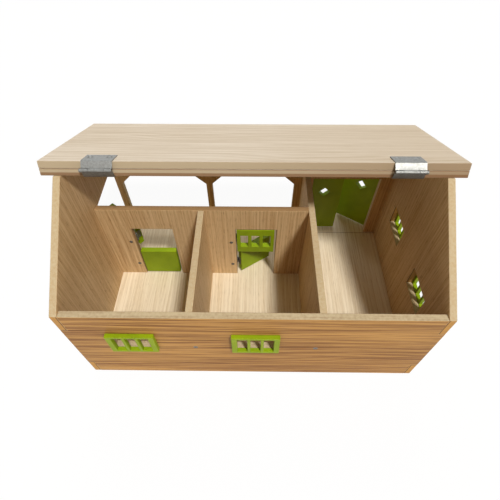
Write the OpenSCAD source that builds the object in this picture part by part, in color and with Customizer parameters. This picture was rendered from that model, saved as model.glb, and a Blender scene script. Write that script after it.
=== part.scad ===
// Toy barn with two boxes, a store room and a porch. The back half of its roof is a flap.
// X runs along the back wall, Y from the back wall to the porch, and Z up.
// The origin is the middle of the base board's underside.

/* [Barn] */
// Width over the outer faces of the two side walls
barn_w = 480; // [440:1:560]
// Depth of the base from the back wall's outer face to the apron's front edge
barn_d = 330; // [300:1:400]
// Depth from the back wall's outer face to the front panel's outer face
house_d = 280; // [250:1:292]
// Depth from the back wall's outer face to the outer face of the wall in front of the boxes
box_d = 182; // [140:1:200]
// Height of the back wall, the partitions and the wall in front of the boxes
level_h = 173; // [165:1:200]

/* [Boards] */
// Thickness of the walls and partitions
wall_t = 9; // [7:0.5:11]
// Thickness of the base board
base_t = 11; // [6:0.5:13]
// Thickness of the two roof boards
roof_t = 9; // [8.5:0.5:13]
// Thickness of the doors
door_t = 9; // [6:0.5:10]
// Thickness of the window grilles
grille_t = 6; // [3:0.5:9]

/* [Rooms] */
// Place of the box partition's middle, from the barn's middle
box_partition_x = -75.6; // [-90:0.1:-60]
// Place of the store partition's middle, from the barn's middle
store_partition_x = 85.2; // [72:0.1:86]
// Height of the lower end of the back wall's end tabs
tab_low = 34.6; // [20:0.1:60]
// Height of the upper end of the back wall's end tabs
tab_high = 137.5; // [110:0.1:155]

/* [Roof] */
// Slope of the back roof in degrees
back_slope = 35; // [30:0.5:38]
// Slope of the front roof in degrees
front_slope = 21.8; // [15:0.1:25]
// Depth from the back wall's outer face to the ridge
ridge_d = 137.5; // [125:0.5:150]
// Width of the two roof boards
roof_w = 510; // [484:1:640]
// Length of the two roof boards along the slope
roof_len = 188; // [176:1:230]
// Gap between the flap and the front roof when the flap lies open on it
flap_gap = 0.2; // [0.1:0.05:0.6]
// Gap left at the ridge between the two hinge straps when the roof is shut
ridge_gap = 0.5; // [0.4:0.1:1.6]

/* [Porch] */
// Height of the porch openings above the ground
porch_h = 166.3; // [158:0.1:180]
// Width of the middle post
middle_post_w = 10; // [8:0.5:18]
// Place of the middle post's middle, from the barn's middle
middle_post_x = -74.3; // [-82:0.1:-68]
// Width of the post at the store
store_post_w = 12; // [8:0.5:18]
// Width of the post at the left side wall
end_post_w = 10.5; // [8:0.5:20]
// Size of the braces at the upper corners of the porch openings
brace = 33.4; // [12:0.1:45]

/* [Doorways] */
// Width of the doorways of the boxes
doorway_w = 63.5; // [54:0.5:70]
// Height of the doorways and of the windows' upper edges above the ground
doorway_top = 130.8; // [126:0.1:145]
// Place of the store doorway's middle, from the barn's middle
store_door_x = 155.5; // [155:0.1:156]
// Width of the store doorway
store_door_w = 111; // [104:0.5:112]
// Height of the store doorway above the ground
store_door_top = 146; // [138:1:165]

/* [Windows] */
// Width of a window grille
grille_w = 62; // [57:0.5:72]
// Height of a window grille
grille_h = 44; // [41:0.5:55]
// Width of one hole in a window grille
grille_hole_w = 13.2; // [8:0.1:15]
// Height of the holes in a window grille
grille_hole_h = 35.5; // [20:0.5:37]
// Width of the bars in a window grille
grille_bar = 4; // [2:0.1:6]
// How far the sides of the opening in the wall stand back from the holes in its grille
side_reveal = 3.4; // [0.5:0.1:3.6]
// How far the top and bottom of this opening stand back from the holes
top_reveal = 1; // [0.2:0.1:2]
// Depth from the back wall's outer face to the middle of the rear side window
rear_window_d = 79.5; // [60:0.5:95]
// Depth from the back wall's outer face to the middle of the front side window
front_window_d = 201.6; // [180:0.1:215]

/* [Half doors] */
// Gap between a half door and the jamb at its hinge
jamb_gap = 1.6; // [1.3:0.1:2]
// Gap between a half door and the jamb at its free edge
free_gap = 3.2; // [1.5:0.1:5]
// Gap above an upper half door
lintel_gap = 1.9; // [1:0.1:4]
// Gap between the base board and every door
floor_gap = 4.6; // [1:0.1:8]
// Height of the middle of the gap between the lower and the upper half doors
split_z = 74; // [68:0.5:78]
// Width of the gap between the lower and the upper half doors
split_gap = 1.6; // [0.8:0.1:4]
// Width of one hole in an upper half door
door_hole_w = 12.1; // [6:0.1:13]
// Height of the holes in an upper half door
door_hole_h = 27; // [12:0.5:36]
// Width of the bars in an upper half door
door_bar = 5.7; // [3:0.1:7]
// Angle at which the left box's upper door stands open
left_upper_open = 143; // [0:1:170]
// Angle at which the right box's lower door stands open
right_lower_open = 34; // [0:1:170]

/* [Store doors] */
// How far the store doors overlap the wall around their doorway
overlap = 6; // [3:0.5:8]
// Gap between the free edges of the store doors
meeting_gap = 0.8; // [0.4:0.1:3]
// Distance of this gap's middle from the doorway's middle, towards the boxes
meeting_shift = 1.5; // [0:0.1:4]
// Gap between the wall and the store doors in front of it
face_gap = 0.3; // [0.2:0.1:1]
// Size of the diamond hole in a store door, from tip to tip
diamond = 20; // [10:0.5:30]
// Height of the diamonds' middles above the ground
diamond_z = 106.5; // [90:0.5:120]
// Angle at which the right store door stands open
store_right_open = 34; // [0:1:100]

/* [Door hinges] */
// Height of a door hinge
hinge_h = 16; // [13:0.5:22]
// Thickness of the door hinges' leaves
hinge_t = 0.8; // [0.6:0.1:1]
// Outer radius of the door hinges' knuckles
knuckle_r = 2; // [1.8:0.1:2.3]
// Radius of the heads of the door hinges' pins
hinge_head_r = 1.7; // [1.4:0.1:1.8]
// Height of the heads of the door hinges' pins
hinge_head_h = 0.6; // [0.3:0.1:1]
// Gap between a door hinge's knuckles and the wall
knuckle_gap = 0.3; // [0.2:0.1:0.6]
// Width of a half door hinge's wall leaf, from the pin's middle
wall_leaf_w = 14; // [12:0.5:18]
// Distance of the rivet in a half door's wall leaf from the pin's middle
rivet_in = 7; // [6:0.1:10]
// Width of a store door hinge's wall leaf, from the pin's middle
store_leaf_w = 11; // [9.5:0.5:11.5]
// Distance of the screw in a store door's wall leaf from the pin's middle
store_screw_in = 6.6; // [5.8:0.1:7]
// Width of the leaf on a half door's edge, from the pin's middle
inset_leaf_w = 9; // [7:0.5:9.5]
// Width of the leaf on a store door's edge, from the pin's middle
overlay_leaf_w = 6.4; // [5.8:0.1:6.8]
// Height of a hinge's middle above the lower edge of its half door
hinge_rise = 24; // [16:0.5:28]
// Distance of a store door's hinges from its upper and lower edges
store_hinge_inset = 30; // [16:1:50]

/* [Roof hinges] */
// Distance of each roof hinge's middle from the barn's middle
roof_hinge_x = 184; // [150:1:195]
// Width of a roof hinge
roof_hinge_w = 37; // [32:0.5:50]
// Thickness of the roof hinges' straps
strap_t = 1.2; // [0.8:0.1:1.6]
// Length of the strap along the underside of its board
strap_len = 21; // [18:0.5:30]
// Outer radius of the roof hinges' knuckles
barrel_r = 2.3; // [2.1:0.1:3]
// Length of the head on a roof hinge's pin
pin_head = 2; // [0.5:0.1:4]
// Distance of the strap screws from the board's edge
strap_screw_in = 12.5; // [8:0.5:14]
// Distance between the two screws of a strap
strap_screw_gap = 23; // [14:0.5:26]

/* [Fasteners] */
// Gap between a fastener or pin and its hole, on the radius
fit = 0.05; // [0.03:0.01:0.08]
// Gap between neighbouring knuckles of a hinge
knuckle_play = 0.3; // [0.1:0.05:0.5]
// Radius of the rivets in the half doors' wall leaves
rivet_r = 1.5; // [1:0.1:1.8]
// Radius of the rivets' heads
rivet_head_r = 2.9; // [2.4:0.1:3.4]
// Height of the rivets' heads
rivet_head_h = 1.3; // [0.8:0.1:1.6]
// Radius of the screws in the store doors' wall leaves
leaf_screw_r = 1.2; // [0.8:0.1:1.4]
// Length of the screws in the store doors' wall leaves
leaf_screw_len = 7; // [4:0.5:7.5]
// Radius of the heads of the screws in the store doors' wall leaves
leaf_head_r = 2.4; // [1.8:0.1:2.6]
// Height of the heads of the screws in the store doors' wall leaves
leaf_head_h = 1.2; // [0.6:0.1:1.6]
// Radius of the pins in the leaves on the doors' edges
edge_pin_r = 0.7; // [0.5:0.05:0.8]
// Length of the pins in the leaves on the doors' edges
edge_pin_len = 3.8; // [2:0.1:4]
// Distance of these pins from the upper and lower ends of their leaf
edge_pin_inset = 3; // [2:0.1:4]
// Radius of the heads of these pins
edge_head_r = 1.4; // [1:0.1:1.6]
// Height of the heads of these pins
edge_head_h = 0.4; // [0.2:0.05:0.5]
// Radius of the strap screws
strap_screw_r = 1.5; // [1:0.1:1.8]
// Length of the strap screws
strap_screw_len = 8; // [5:0.5:8.5]
// Radius of the strap screws' heads
strap_head_r = 3.6; // [2.6:0.1:4]
// Height of the strap screws' heads
strap_head_h = 1.7; // [1:0.1:2.2]
// Radius of the screws through the back wall
wall_screw_r = 1.6; // [1:0.1:2]
// Length of the screws through the back wall
wall_screw_len = 30; // [20:1:40]
// Radius of the countersunk heads of the screws through the back wall
wall_head_r = 3.3; // [2.6:0.1:4]
// Height of the screws through the back wall above the ground
wall_screw_z = 90.5; // [60:0.5:120]

/* [Hidden] */
$fn = 48;
back_y = -barn_d / 2;
front_y = back_y + house_d;
apron_y = back_y + barn_d;
box_y = back_y + box_d;
ridge_y = back_y + ridge_d;
side_x = barn_w / 2;
inner_x = side_x - wall_t;
peak_z = level_h + ridge_d * tan(back_slope);
porch_left = -inner_x + end_post_w;
store_face_x = store_partition_x - wall_t / 2;
porch_right = store_face_x - store_post_w;
left_box_x = (box_partition_x - wall_t / 2 - inner_x) / 2;
right_box_x = (box_partition_x + wall_t / 2 + store_face_x) / 2;
window_z = doorway_top - grille_h / 2;
door_w = doorway_w - jamb_gap - free_gap;
lower_z = base_t + floor_gap;
lower_top = split_z - split_gap / 2;
upper_z = split_z + split_gap / 2;
upper_top = doorway_top - lintel_gap;
store_door_len = store_door_w / 2 + overlap - meeting_gap / 2;
store_top = store_door_top + overlap;
store_hinge_low = lower_z + store_hinge_inset;
store_hinge_high = store_top - store_hinge_inset;
// A knuckle is the leaf's own sheet rolled round the pin
hinge_pin_r = knuckle_r - hinge_t - fit;
roof_pin_r = barrel_r - strap_t - fit;
// A door hinge's pin stands off the wall's outer face by this much
pin_off = knuckle_r + knuckle_gap;
left_pin_x = left_box_x - doorway_w / 2 + jamb_gap - knuckle_r;
right_pin_x = right_box_x - doorway_w / 2 + jamb_gap - knuckle_r;
store_left_pin_x = store_door_x - store_door_w / 2 - overlap - knuckle_r;
store_right_pin_x = store_door_x + store_door_w / 2 + overlap + knuckle_r;
half_pin_y = box_y + pin_off;
store_pin_y = front_y + pin_off;
edge_pin_z = hinge_h / 2 - edge_pin_inset;
// The roof pin is where the two boards' upper faces would meet, raised by half of the flap's gap
roof_pin_off = roof_t + flap_gap / 2;
ridge_bend = 1 + cos(front_slope + back_slope);
pin_y = ridge_y + roof_pin_off * (sin(front_slope) - sin(back_slope)) / ridge_bend;
pin_z = peak_z + roof_pin_off * (cos(front_slope) + cos(back_slope)) / ridge_bend;
// When the roof is shut, the plane between the two straps leans this much from the boards' edges
strap_lean = (front_slope + back_slope) / 2;
// The boards' square edges stand back so that the straps clear each other along this plane
edge_set = roof_pin_off * tan(strap_lean) + (ridge_gap / 2 + strap_t) / cos(strap_lean);
// A hinge's three knuckles: half of its width in the middle, a quarter at each end
mid_share = 0.5;
overshoot = 1;

// Height of the front roof's underside at a given depth
function front_under(y) = peak_z - (y - ridge_y) * tan(front_slope);

// Extrude a profile drawn in Y and Z across the barn, from x0
module across(x0, w) {
    translate([x0, 0, 0]) rotate([90, 0, 90]) linear_extrude(w) children();
}

// Extrude a profile drawn in X and Z from y0 towards the porch
module upright(y0, t) {
    translate([0, y0 + t, 0]) rotate([90, 0, 0]) linear_extrude(t) children();
}

// A row of three holes around the profile's origin
module three_holes(hole_w, hole_h, bar) {
    for (i = [-1 : 1])
        translate([i * (hole_w + bar), 0]) square([hole_w, hole_h], center = true);
}

// The opening that a wall has behind a window grille
module window_opening() {
    opening_w = 3 * grille_hole_w + 2 * grille_bar + 2 * side_reveal;
    square([opening_w, grille_hole_h + 2 * top_reveal], center = true);
}

module grille_board() {
    color("yellowgreen") linear_extrude(grille_t) difference() {
        square([grille_w, grille_h], center = true);
        three_holes(grille_hole_w, grille_hole_h, grille_bar);
    }
}

// A domed head that stands on the XY plane
module dome(r, h) {
    ball_r = (r * r + h * h) / (2 * h);
    intersection() {
        translate([0, 0, h - ball_r]) sphere(ball_r);
        cylinder(r = r, h = h);
    }
}

// A domed screw whose head stands on the XY plane and whose shank points down
module domed_screw(r, len, head_r, head_h) {
    dome(head_r, head_h);
    translate([0, 0, -len]) cylinder(r = r, h = len + head_h / 2);
}

// Base and walls

module base_board() {
    color("burlywood") linear_extrude(base_t) polygon([
        [-inner_x, back_y + wall_t], [inner_x, back_y + wall_t], [inner_x, front_y],
        [side_x, front_y], [side_x, apron_y], [-side_x, apron_y], [-side_x, box_y],
        [-inner_x, box_y]
    ]);
}

module wall_screw_places() {
    for (x = [box_partition_x, store_partition_x])
        translate([x, back_y, wall_screw_z]) rotate([-90, 0, 0]) children();
}

// The screws through the back wall, with their holes when grow is the gap around them
module wall_screw(grow) {
    cylinder(r1 = wall_head_r + grow, r2 = wall_screw_r + grow, h = wall_head_r - wall_screw_r);
    cylinder(r = wall_screw_r + grow, h = wall_screw_len);
}

module back_wall() {
    color("peru") difference() {
        upright(back_y, wall_t) difference() {
            union() {
                translate([-inner_x, 0]) square([2 * inner_x, level_h]);
                translate([-side_x, tab_low]) square([2 * side_x, tab_high - tab_low]);
            }
            for (x = [left_box_x, right_box_x])
                translate([x, window_z]) window_opening();
        }
        wall_screw_places() wall_screw(fit);
    }
}

module gable_notch() {
    translate([back_y, tab_low]) square([wall_t, tab_high - tab_low]);
}

module left_side_wall() {
    color("tan") across(-side_x, wall_t) difference() {
        polygon([
            [back_y, 0], [box_y, 0], [box_y, porch_h], [front_y, porch_h],
            [front_y, front_under(front_y)], [ridge_y, peak_z], [back_y, level_h]
        ]);
        gable_notch();
    }
}

module right_side_wall() {
    color("tan") across(inner_x, wall_t) difference() {
        polygon([
            [back_y, 0], [front_y, 0], [front_y, front_under(front_y)],
            [ridge_y, peak_z], [back_y, level_h]
        ]);
        gable_notch();
        for (d = [rear_window_d, front_window_d])
            translate([back_y + d, window_z]) window_opening();
    }
}

module partition(x, y1) {
    y0 = back_y + wall_t;
    difference() {
        translate([x - wall_t / 2, y0, base_t]) cube([wall_t, y1 - y0, level_h - base_t]);
        wall_screw_places() wall_screw(fit);
    }
}

module box_partition() {
    color("tan") partition(box_partition_x, box_y - wall_t);
}

module store_partition() {
    color("tan") partition(store_partition_x, front_y - wall_t);
}

module box_front_wall() {
    color("tan") difference() {
        upright(box_y - wall_t, wall_t) difference() {
            translate([-inner_x, base_t]) square([inner_x + store_face_x, level_h - base_t]);
            for (x = [left_box_x, right_box_x])
                translate([x - doorway_w / 2, base_t - overshoot])
                    square([doorway_w, doorway_top - base_t + overshoot]);
        }
        for (x = [left_pin_x, right_pin_x], z = [upper_z, lower_z])
            wall_leaf_at(x, half_pin_y, z + hinge_rise)
                wall_hole(rivet_in, rivet_r, wall_t + overshoot);
    }
}

// A porch opening between x0 and x1, with braces in its upper corners
module porch_opening(x0, x1) {
    polygon([
        [x0, base_t - overshoot], [x1, base_t - overshoot], [x1, porch_h - brace],
        [x1 - brace, porch_h], [x0 + brace, porch_h], [x0, porch_h - brace]
    ]);
}

module front_panel() {
    color("tan") difference() {
        intersection() {
            upright(front_y - wall_t, wall_t) difference() {
                translate([-inner_x, base_t]) square([2 * inner_x, peak_z - base_t]);
                porch_opening(porch_left, middle_post_x - middle_post_w / 2);
                porch_opening(middle_post_x + middle_post_w / 2, porch_right);
                translate([store_door_x - store_door_w / 2, base_t - overshoot])
                    square([store_door_w, store_door_top - base_t + overshoot]);
            }
            across(-side_x, barn_w) polygon([
                [ridge_y, 0], [apron_y, 0], [apron_y, front_under(apron_y)], [ridge_y, peak_z]
            ]);
        }
        for (z = [store_hinge_low, store_hinge_high]) {
            wall_leaf_at(store_left_pin_x, store_pin_y, z)
                wall_hole(store_screw_in, leaf_screw_r, leaf_screw_len);
            wall_leaf_at(store_right_pin_x, store_pin_y, z) mirror([1, 0, 0])
                wall_hole(store_screw_in, leaf_screw_r, leaf_screw_len);
        }
    }
}

// Windows

module back_window(x) {
    translate([x, back_y, window_z]) rotate([90, 0, 0]) grille_board();
}

module side_window(d) {
    translate([side_x, back_y + d, window_z]) rotate([90, 0, 90]) grille_board();
}

module back_window_left() {
    back_window(left_box_x);
}

module back_window_right() {
    back_window(right_box_x);
}

module side_window_rear() {
    side_window(rear_window_d);
}

module side_window_front() {
    side_window(front_window_d);
}

module back_wall_screws() {
    color("silver") wall_screw_places() wall_screw(0);
}

// Roof. In the ridge frame, X runs along the pin, Y down the front roof and Z out of it.

module at_ridge() {
    translate([0, pin_y, pin_z]) rotate([-front_slope, 0, 0]) children();
}

// The front roof lies below the ridge frame's XY plane, and the open flap above it
module flap_side() {
    mirror([0, 0, 1]) children();
}

module at_roof_hinges() {
    for (side = [-1, 1])
        translate([side * roof_hinge_x, 0, 0]) children();
}

module at_strap_screws() {
    for (side = [-1, 1])
        translate([side * strap_screw_gap / 2, edge_set + strap_screw_in,
            -roof_pin_off - strap_t]) mirror([0, 0, 1]) children();
}

module roof_board() {
    difference() {
        translate([-roof_w / 2, edge_set, -roof_pin_off]) cube([roof_w, roof_len, roof_t]);
        at_roof_hinges() at_strap_screws() translate([0, 0, -strap_screw_len])
            cylinder(r = strap_screw_r + fit, h = strap_screw_len);
    }
}

// A point of a strap's profile: so far from the pin along the plane between the straps, and so
// far from this plane
function strap_point(along, off) = [
    along * sin(strap_lean) + off * cos(strap_lean), off * sin(strap_lean) - along * cos(strap_lean)
];

// The bent sheet from near the pin to the board's edge, in one polygon with what is given
function strap_sheet(start, rest) = concat(
    [strap_point(start, ridge_gap / 2 + strap_t), strap_point(start, ridge_gap / 2)], rest
);

// One knuckle of a roof hinge between x0 and x1, with the piece of sheet that joins it to the strap
module roof_knuckle(x0, x1) {
    w = x1 - x0 - knuckle_play;
    translate([x0 + knuckle_play / 2, 0, 0]) rotate([0, 90, 0]) cylinder(r = barrel_r, h = w);
    across(x0 + knuckle_play / 2, w) polygon(strap_sheet(0, [
        strap_point(2 * barrel_r, ridge_gap / 2), strap_point(2 * barrel_r, ridge_gap / 2 + strap_t)
    ]));
}

// A strap from near the pin, round its board's corner and along the underside, with knuckles over
// the given stretches of its width
module roof_strap(stretches) {
    low = -roof_pin_off - strap_t;
    corner = (ridge_gap / 2 + (roof_pin_off + strap_t) * sin(strap_lean)) / cos(strap_lean);
    color("lightgray") difference() {
        union() {
            across(-roof_hinge_w / 2, roof_hinge_w) polygon(strap_sheet(barrel_r + knuckle_play, [
                [corner, low], [edge_set + strap_len, low],
                [edge_set + strap_len, low + strap_t], [edge_set, low + strap_t]
            ]));
            for (s = stretches)
                roof_knuckle(s[0] * roof_hinge_w / 2, s[1] * roof_hinge_w / 2);
        }
        translate([-roof_hinge_w, 0, 0]) rotate([0, 90, 0])
            cylinder(r = roof_pin_r + fit, h = 2 * roof_hinge_w);
        at_strap_screws() translate([0, 0, -strap_screw_len])
            cylinder(r = strap_screw_r + fit, h = strap_screw_len + overshoot);
    }
}

outer_knuckles = [[-1, -mid_share], [mid_share, 1]];
middle_knuckle = [[-mid_share, mid_share]];

module fixed_strap(side) {
    at_ridge() translate([side * roof_hinge_x, 0, 0]) roof_strap(outer_knuckles);
}

module flap_strap(side) {
    at_ridge() flap_side() translate([side * roof_hinge_x, 0, 0]) roof_strap(middle_knuckle);
}

module strap_screws() {
    color("silver") at_roof_hinges() at_strap_screws()
        domed_screw(strap_screw_r, strap_screw_len, strap_head_r, strap_head_h);
}

module front_roof() {
    color("wheat") at_ridge() roof_board();
}

module roof_flap() {
    color("wheat") at_ridge() flap_side() roof_board();
}

module left_roof_hinge_fixed_strap() {
    fixed_strap(-1);
}

module right_roof_hinge_fixed_strap() {
    fixed_strap(1);
}

module left_roof_hinge_flap_strap() {
    flap_strap(-1);
}

module right_roof_hinge_flap_strap() {
    flap_strap(1);
}

module fixed_strap_screws() {
    at_ridge() strap_screws();
}

module flap_strap_screws() {
    at_ridge() flap_side() strap_screws();
}

module roof_hinge_pins() {
    pin_len = roof_hinge_w - knuckle_play;
    color("silver") at_ridge() for (side = [-1, 1])
        translate([side * roof_hinge_x, 0, 0]) rotate([0, side * 90, 0]) {
            translate([0, 0, -pin_len / 2]) cylinder(r = roof_pin_r, h = pin_len);
            translate([0, 0, pin_len / 2]) cylinder(r = barrel_r, h = pin_head);
        }
}

// Door hinges. In a hinge's frame the pin is the Z axis, the wall's outer face is at
// Y = -pin_off and the shut door's edge is at X = knuckle_r.

module wall_leaf_at(x, y, z) {
    translate([x, y, z]) children();
}

module wall_hole(inset, r, depth) {
    translate([-inset, -pin_off - depth, 0]) rotate([-90, 0, 0])
        cylinder(r = r + fit, h = depth + pin_off);
}

module knuckle(z0, z1) {
    translate([0, 0, z0 + knuckle_play / 2]) cylinder(r = knuckle_r, h = z1 - z0 - knuckle_play);
}

module pin_bore() {
    translate([0, 0, -hinge_h]) cylinder(r = hinge_pin_r + fit, h = 2 * hinge_h);
}

// The leaf on the wall holds the outer two knuckles
module wall_leaf(leaf_w, screw_in, screw_r) {
    knuckle_z = mid_share * hinge_h / 2;
    clear_x = knuckle_r + knuckle_gap;
    color("lightgray") difference() {
        union() {
            translate([-leaf_w, -pin_off, -hinge_h / 2])
                cube([leaf_w - clear_x, hinge_t, hinge_h]);
            for (side = [-1, 1]) {
                z0 = side > 0 ? knuckle_z : -hinge_h / 2;
                z1 = side > 0 ? hinge_h / 2 : -knuckle_z;
                knuckle(z0, z1);
                translate([-leaf_w, -pin_off, z0 + knuckle_play / 2])
                    cube([leaf_w, hinge_t, z1 - z0 - knuckle_play]);
            }
        }
        pin_bore();
        translate([-screw_in, -pin_off - overshoot, 0]) rotate([-90, 0, 0])
            cylinder(r = screw_r + fit, h = hinge_t + 2 * overshoot);
    }
}

// Where the two small pins of a leaf on a door's edge go, with their heads towards -X
module at_edge_pins(leaf_w) {
    pin_mid = (leaf_w + pin_off) / 2;
    for (side = [-1, 1])
        translate([knuckle_r - hinge_t, -pin_mid, side * edge_pin_z]) rotate([0, -90, 0]) children();
}

// The leaf on the door's edge holds the middle knuckle
module edge_leaf(leaf_w) {
    knuckle_z = mid_share * hinge_h / 2;
    color("lightgray") difference() {
        union() {
            translate([knuckle_r - hinge_t, -leaf_w, -hinge_h / 2])
                cube([hinge_t, leaf_w - pin_off, hinge_h]);
            translate([knuckle_r - hinge_t, -leaf_w, -knuckle_z + knuckle_play / 2])
                cube([hinge_t, leaf_w, 2 * knuckle_z - knuckle_play]);
            knuckle(-knuckle_z, knuckle_z);
        }
        pin_bore();
        at_edge_pins(leaf_w) translate([0, 0, -edge_pin_len])
            cylinder(r = edge_pin_r + fit, h = edge_pin_len + overshoot);
    }
}

module edge_pins(leaf_w) {
    color("silver") at_edge_pins(leaf_w) {
        cylinder(r = edge_head_r, h = edge_head_h);
        translate([0, 0, -edge_pin_len]) cylinder(r = edge_pin_r, h = edge_pin_len);
    }
}

module edge_pin_holes(leaf_w) {
    at_edge_pins(leaf_w) translate([0, 0, -edge_pin_len])
        cylinder(r = edge_pin_r + fit, h = edge_pin_len);
}

// Half doors, each drawn shut around its own pin

module half_door_board(z0, z1) {
    translate([knuckle_r, -pin_off - door_t, z0]) cube([door_w, door_t, z1 - z0]);
}

module upper_door() {
    color("yellowgreen") difference() {
        half_door_board(upper_z, upper_top);
        upright(-pin_off - door_t - overshoot, door_t + 2 * overshoot)
            translate([knuckle_r + door_w / 2, (upper_z + upper_top) / 2])
                three_holes(door_hole_w, door_hole_h, door_bar);
        translate([0, 0, upper_z + hinge_rise]) edge_pin_holes(inset_leaf_w);
    }
}

module lower_door() {
    color("yellowgreen") difference() {
        half_door_board(lower_z, lower_top);
        translate([0, 0, lower_z + hinge_rise]) edge_pin_holes(inset_leaf_w);
    }
}

module at_half_door(x, open) {
    translate([x, half_pin_y, 0]) rotate([0, 0, open]) children();
}

module half_wall_leaf(x, z) {
    wall_leaf_at(x, half_pin_y, z + hinge_rise) wall_leaf(wall_leaf_w, rivet_in, rivet_r);
}

module left_upper_wall_leaf() {
    half_wall_leaf(left_pin_x, upper_z);
}

module left_lower_wall_leaf() {
    half_wall_leaf(left_pin_x, lower_z);
}

module right_upper_wall_leaf() {
    half_wall_leaf(right_pin_x, upper_z);
}

module right_lower_wall_leaf() {
    half_wall_leaf(right_pin_x, lower_z);
}

// A rivet through a wall leaf and the wall, with a head on each side
module wall_rivet() {
    grip = wall_t + hinge_t;
    translate([-rivet_in, -pin_off + hinge_t, 0]) rotate([-90, 0, 0]) {
        dome(rivet_head_r, rivet_head_h);
        translate([0, 0, -grip - rivet_head_h / 2])
            cylinder(r = rivet_r, h = grip + rivet_head_h);
        translate([0, 0, -grip]) mirror([0, 0, 1]) dome(rivet_head_r, rivet_head_h);
    }
}

module wall_leaf_rivets() {
    color("silver") for (x = [left_pin_x, right_pin_x], z = [upper_z, lower_z])
        wall_leaf_at(x, half_pin_y, z + hinge_rise) wall_rivet();
}

// The head rests on the upper knuckle
module hinge_pin() {
    head_z = (hinge_h - knuckle_play) / 2;
    color("silver") {
        translate([0, 0, -hinge_h / 2]) cylinder(r = hinge_pin_r, h = hinge_h / 2 + head_z);
        translate([0, 0, head_z]) cylinder(r = hinge_head_r, h = hinge_head_h);
    }
}

module door_hinge_pins() {
    for (x = [left_pin_x, right_pin_x], z = [upper_z, lower_z])
        wall_leaf_at(x, half_pin_y, z + hinge_rise) hinge_pin();
    for (x = [store_left_pin_x, store_right_pin_x], z = [store_hinge_low, store_hinge_high])
        wall_leaf_at(x, store_pin_y, z) hinge_pin();
}

module left_upper_door() {
    at_half_door(left_pin_x, left_upper_open) upper_door();
}

module left_upper_door_leaf() {
    at_half_door(left_pin_x, left_upper_open) translate([0, 0, upper_z + hinge_rise])
        edge_leaf(inset_leaf_w);
}

module left_upper_leaf_pins() {
    at_half_door(left_pin_x, left_upper_open) translate([0, 0, upper_z + hinge_rise])
        edge_pins(inset_leaf_w);
}

module left_lower_door() {
    at_half_door(left_pin_x, 0) lower_door();
}

module left_lower_door_leaf() {
    at_half_door(left_pin_x, 0) translate([0, 0, lower_z + hinge_rise]) edge_leaf(inset_leaf_w);
}

module left_lower_leaf_pins() {
    at_half_door(left_pin_x, 0) translate([0, 0, lower_z + hinge_rise]) edge_pins(inset_leaf_w);
}

module right_upper_door() {
    at_half_door(right_pin_x, 0) upper_door();
}

module right_upper_door_leaf() {
    at_half_door(right_pin_x, 0) translate([0, 0, upper_z + hinge_rise]) edge_leaf(inset_leaf_w);
}

module right_upper_leaf_pins() {
    at_half_door(right_pin_x, 0) translate([0, 0, upper_z + hinge_rise]) edge_pins(inset_leaf_w);
}

module right_lower_door() {
    at_half_door(right_pin_x, right_lower_open) lower_door();
}

module right_lower_door_leaf() {
    at_half_door(right_pin_x, right_lower_open) translate([0, 0, lower_z + hinge_rise])
        edge_leaf(inset_leaf_w);
}

module right_lower_leaf_pins() {
    at_half_door(right_pin_x, right_lower_open) translate([0, 0, lower_z + hinge_rise])
        edge_pins(inset_leaf_w);
}

// Store doors, each drawn shut around its own pin. The right one is drawn in the mirror.

module at_store_left(z, open) {
    translate([store_left_pin_x, store_pin_y, z]) rotate([0, 0, open]) children();
}

module at_store_right(z, open) {
    translate([store_right_pin_x, store_pin_y, z]) rotate([0, 0, -open]) mirror([1, 0, 0])
        children();
}

// A store door's edge leaf reaches away from the wall
module overlay() {
    mirror([0, 1, 0]) children();
}

module store_door(len) {
    color("yellowgreen") difference() {
        translate([knuckle_r, face_gap - pin_off, lower_z])
            cube([len, door_t, store_top - lower_z]);
        upright(-pin_off, door_t + pin_off + overshoot)
            translate([knuckle_r + len / 2, diamond_z]) rotate(45)
                square(diamond / sqrt(2), center = true);
        for (z = [store_hinge_low, store_hinge_high])
            translate([0, 0, z]) overlay() edge_pin_holes(overlay_leaf_w);
    }
}

module store_wall_leaf() {
    wall_leaf(store_leaf_w, store_screw_in, leaf_screw_r);
}

module store_left_top_wall_leaf() {
    at_store_left(store_hinge_high, 0) store_wall_leaf();
}

module store_left_bottom_wall_leaf() {
    at_store_left(store_hinge_low, 0) store_wall_leaf();
}

module store_right_top_wall_leaf() {
    at_store_right(store_hinge_high, 0) store_wall_leaf();
}

module store_right_bottom_wall_leaf() {
    at_store_right(store_hinge_low, 0) store_wall_leaf();
}

module leaf_screw() {
    color("silver") translate([-store_screw_in, -pin_off + hinge_t, 0]) rotate([-90, 0, 0])
        domed_screw(leaf_screw_r, leaf_screw_len, leaf_head_r, leaf_head_h);
}

module store_wall_leaf_screws() {
    for (z = [store_hinge_low, store_hinge_high]) {
        at_store_left(z, 0) leaf_screw();
        at_store_right(z, 0) leaf_screw();
    }
}

module store_left_door() {
    at_store_left(0, 0) store_door(store_door_len - meeting_shift);
}

module store_left_top_door_leaf() {
    at_store_left(store_hinge_high, 0) overlay() edge_leaf(overlay_leaf_w);
}

module store_left_bottom_door_leaf() {
    at_store_left(store_hinge_low, 0) overlay() edge_leaf(overlay_leaf_w);
}

module store_left_leaf_pins() {
    for (z = [store_hinge_low, store_hinge_high])
        at_store_left(z, 0) overlay() edge_pins(overlay_leaf_w);
}

module store_right_door() {
    at_store_right(0, store_right_open) store_door(store_door_len + meeting_shift);
}

module store_right_top_door_leaf() {
    at_store_right(store_hinge_high, store_right_open) overlay() edge_leaf(overlay_leaf_w);
}

module store_right_bottom_door_leaf() {
    at_store_right(store_hinge_low, store_right_open) overlay() edge_leaf(overlay_leaf_w);
}

module store_right_leaf_pins() {
    for (z = [store_hinge_low, store_hinge_high])
        at_store_right(z, store_right_open) overlay() edge_pins(overlay_leaf_w);
}

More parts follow.
